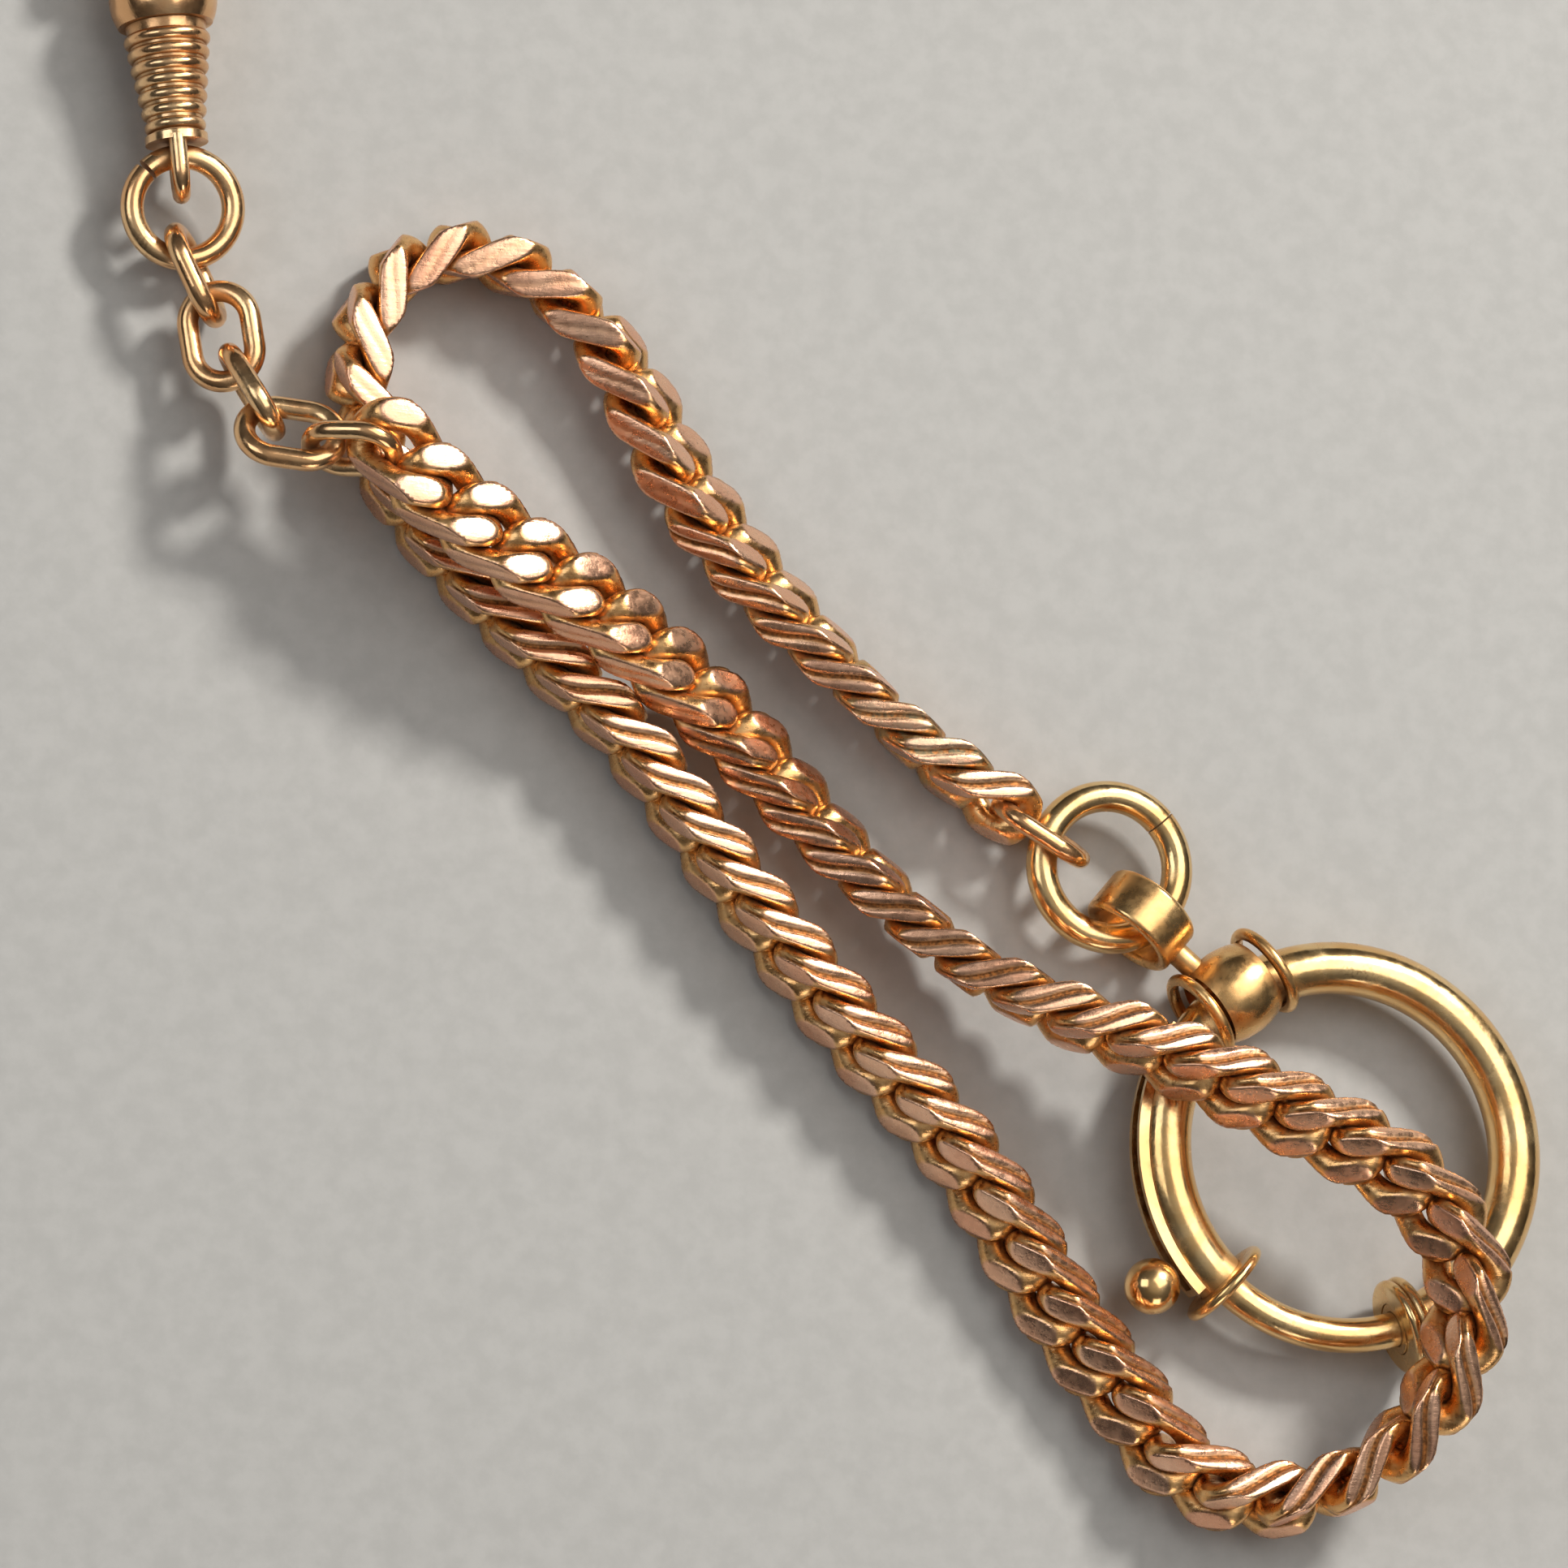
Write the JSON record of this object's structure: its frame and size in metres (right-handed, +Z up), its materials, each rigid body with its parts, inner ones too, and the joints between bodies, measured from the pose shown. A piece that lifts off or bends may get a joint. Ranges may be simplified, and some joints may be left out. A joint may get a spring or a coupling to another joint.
{
  "type": "pocket watch chain",
  "caption": "Curb link pocket watch chain in rose gold colour, laid in a double loop, with a bolt ring at one end and a swivel clasp on a short cable chain at the other.",
  "frame": {"origin": "the middle of the bounding box, on the surface the chain lies on", "axes": "+Z up, +Y towards the swivel clasp, +X to the bolt ring side"},
  "size_m": [0.0788, 0.0872, 0.0098],
  "materials": {
    "rose_gold": "worn, filed flats with tarnish in the grooves",
    "yellow_gold": "polished, lightly tarnished",
    "spring_steel": "drawn wire and strip"
  },
  "bodies": {
    "curb_01": {"curb_links_01": "rose_gold"},
    "curb_02": {"curb_links_02": "rose_gold"},
    "curb_03": {"curb_links_03": "rose_gold"},
    "curb_04": {"curb_links_04": "rose_gold"},
    "curb_05": {"curb_links_05": "rose_gold"},
    "curb_06": {"curb_links_06": "rose_gold"},
    "curb_07": {"curb_links_07": "rose_gold"},
    "curb_08": {"curb_links_08": "rose_gold"},
    "curb_09": {"curb_links_09": "rose_gold"},
    "curb_10": {"curb_links_10": "rose_gold"},
    "curb_11": {"curb_links_11": "rose_gold"},
    "curb_12": {"curb_links_12": "rose_gold"},
    "curb_13": {"curb_links_13": "rose_gold"},
    "curb_14": {"curb_links_14": "rose_gold"},
    "cable_1": {"cable_link_1": "yellow_gold"},
    "cable_2": {"cable_link_2": "yellow_gold"},
    "cable_3": {"cable_link_3": "yellow_gold"},
    "cable_4": {"cable_link_4": "yellow_gold"},
    "cable_5": {"cable_link_5": "yellow_gold"},
    "small_ring_body": {"small_ring": "yellow_gold"},
    "eye": {"swivel_eye": "yellow_gold"},
    "clasp": {"clasp_barrel": "yellow_gold", "clasp_bulb": "yellow_gold", "clasp_hook": "yellow_gold", "gate_pin": "spring_steel", "gate_spring": "spring_steel"},
    "gate": {"clasp_gate": "yellow_gold"},
    "connector": {"connecting_link": "yellow_gold"},
    "jump": {"jump_ring": "yellow_gold"},
    "swivel": {"bail": "yellow_gold", "swivel_sleeve": "yellow_gold", "swivel_collar_left": "yellow_gold", "swivel_collar_right": "yellow_gold"},
    "bolt_ring": {"ring_casing": "yellow_gold", "casing_collar": "yellow_gold", "catch_collar": "yellow_gold", "slot_rail": "yellow_gold", "bolt_spring": "spring_steel", "spring_stop": "spring_steel"},
    "bolt": {"sliding_bolt": "yellow_gold", "thumb_piece": "yellow_gold"}
  },
  "joints": [
    {"name": "lift_07", "type": "hinge", "parent": "curb_08", "child": "curb_07", "pos_m": [0.0117, -0.02974, 0.00223], "axis": [0.7539, 0.657, 0], "range_deg": [0, 1.6]},
    {"name": "lift_06", "type": "hinge", "parent": "curb_07", "child": "curb_06", "pos_m": [0.02192, -0.0414, 0.00294], "axis": [0.7535, 0.6575, 0], "range_deg": [0, 8]},
    {"name": "lift_05", "type": "hinge", "parent": "curb_06", "child": "curb_05", "pos_m": [0.03309, -0.03404, 0.0076], "axis": [0.6186, 0.7857, 0], "range_deg": [0, 8]},
    {"name": "lift_04", "type": "hinge", "parent": "curb_05", "child": "curb_04", "pos_m": [0.02496, -0.02269, 0.007], "axis": [0.4129, 0.9108, 0], "range_deg": [0, 8]},
    {"name": "lift_03", "type": "hinge", "parent": "curb_04", "child": "curb_03", "pos_m": [0.01068, -0.01645, 0.00468], "axis": [0.4752, 0.8799, 0], "range_deg": [0, 10]},
    {"name": "lift_02", "type": "hinge", "parent": "curb_03", "child": "curb_02", "pos_m": [-0.00106, -0.00635, 0.00248], "axis": [0.7102, 0.704, 0], "range_deg": [0, 10]},
    {"name": "lift_01", "type": "hinge", "parent": "curb_02", "child": "curb_01", "pos_m": [-0.01328, 0.00272, 0.00615], "axis": [0.4919, 0.8707, 0], "range_deg": [0, 12]},
    {"name": "sway_09", "type": "hinge", "parent": "curb_08", "child": "curb_09", "pos_m": [0.00386, -0.01988, 0.0023], "axis": [0, 0, 1], "range_deg": [-0.8, 0.8]},
    {"name": "sway_10", "type": "hinge", "parent": "curb_09", "child": "curb_10", "pos_m": [-0.00634, -0.00783, 0.00243], "axis": [0, 0, -1], "range_deg": [-2.4, 1.6]},
    {"name": "sway_11", "type": "hinge", "parent": "curb_10", "child": "curb_11", "pos_m": [-0.0174, 0.00339, 0.00231], "axis": [0, 0, 1], "range_deg": [-0.9, 6]},
    {"name": "sway_12", "type": "hinge", "parent": "curb_11", "child": "curb_12", "pos_m": [-0.02317, 0.01711, 0.00235], "axis": [0, 0, -1], "range_deg": [-8, 0.9]},
    {"name": "sway_13", "type": "hinge", "parent": "curb_12", "child": "curb_13", "pos_m": [-0.01055, 0.01627, 0.00227], "axis": [0, 0, 1], "range_deg": [-0.9, 8]},
    {"name": "sway_14", "type": "hinge", "parent": "curb_13", "child": "curb_14", "pos_m": [-0.00145, 0.00345, 0.00219], "axis": [0, 0, -1], "range_deg": [-8, 1.8]},
    {"name": "cable_turn_1", "type": "hinge", "parent": "curb_01", "child": "cable_1", "pos_m": [-0.02316, 0.00975, 0.00713], "axis": [0, 0, -1], "range_deg": [-12, 7]},
    {"name": "cable_turn_2", "type": "hinge", "parent": "cable_1", "child": "cable_2", "pos_m": [-0.02627, 0.00975, 0.00564], "axis": [0, 0, 1], "range_deg": [-12, 12]},
    {"name": "cable_turn_3", "type": "hinge", "parent": "cable_2", "child": "cable_3", "pos_m": [-0.02857, 0.01134, 0.00437], "axis": [0, 0, -1], "range_deg": [-12, 12]},
    {"name": "cable_turn_4", "type": "hinge", "parent": "cable_3", "child": "cable_4", "pos_m": [-0.03015, 0.01401, 0.00324], "axis": [0, 0, 1], "range_deg": [-12, 12]},
    {"name": "cable_turn_5", "type": "hinge", "parent": "cable_4", "child": "cable_5", "pos_m": [-0.0315, 0.01709, 0.00258], "axis": [0, 0, -1], "range_deg": [-12, 12]},
    {"name": "small_ring_turn", "type": "hinge", "parent": "cable_5", "child": "small_ring_body", "pos_m": [-0.03274, 0.02008, 0.00236], "axis": [0, 0, 1], "range_deg": [-9, 12]},
    {"name": "eye_turn", "type": "hinge", "parent": "small_ring_body", "child": "eye", "pos_m": [-0.03307, 0.0235, 0.0028], "axis": [0, 0, -1], "range_deg": [-12, 12]},
    {"name": "clasp_swivel", "type": "hinge", "parent": "eye", "child": "clasp", "pos_m": [-0.03344, 0.02681, 0.0028], "axis": [-0.1097, 0.994, 0], "continuous": true},
    {"name": "gate_hinge", "type": "hinge", "parent": "clasp", "child": "gate", "pos_m": [-0.03686, 0.03534, 0.0028], "axis": [0, 0, -1], "range_deg": [0, 40], "stiffness_Nm_per_rad": 0.0004, "springref_deg": -20.05, "deforming": ["gate_spring"]},
    {"name": "connector_turn", "type": "hinge", "parent": "curb_14", "child": "connector", "pos_m": [0.01035, -0.00642, 0.00244], "axis": [0, 0, 1], "range_deg": [-3.5, 8]},
    {"name": "jump_ring_turn", "type": "hinge", "parent": "connector", "child": "jump", "pos_m": [0.01417, -0.00868, 0.00225], "axis": [0, 0, -1], "range_deg": [-8, 3.5]},
    {"name": "bail_turn", "type": "hinge", "parent": "jump", "child": "swivel", "pos_m": [0.01921, -0.0127, 0.0026], "axis": [0, 0, 1], "range_deg": [-5, 5]},
    {"name": "ring_swivel", "type": "hinge", "parent": "swivel", "child": "bolt_ring", "pos_m": [0.02273, -0.01566, 0.0026], "axis": [-0.809, -0.5878, 0], "range_deg": [-8, 1.5]},
    {"name": "bolt_slide", "type": "hinge", "parent": "bolt_ring", "child": "bolt", "pos_m": [0.02852, -0.02363, 0.0026], "axis": [0, 0, -1], "range_deg": [0, 48], "stiffness_Nm_per_rad": 0.002, "springref_deg": -22.92, "deforming": ["bolt_spring"]}
  ]
}
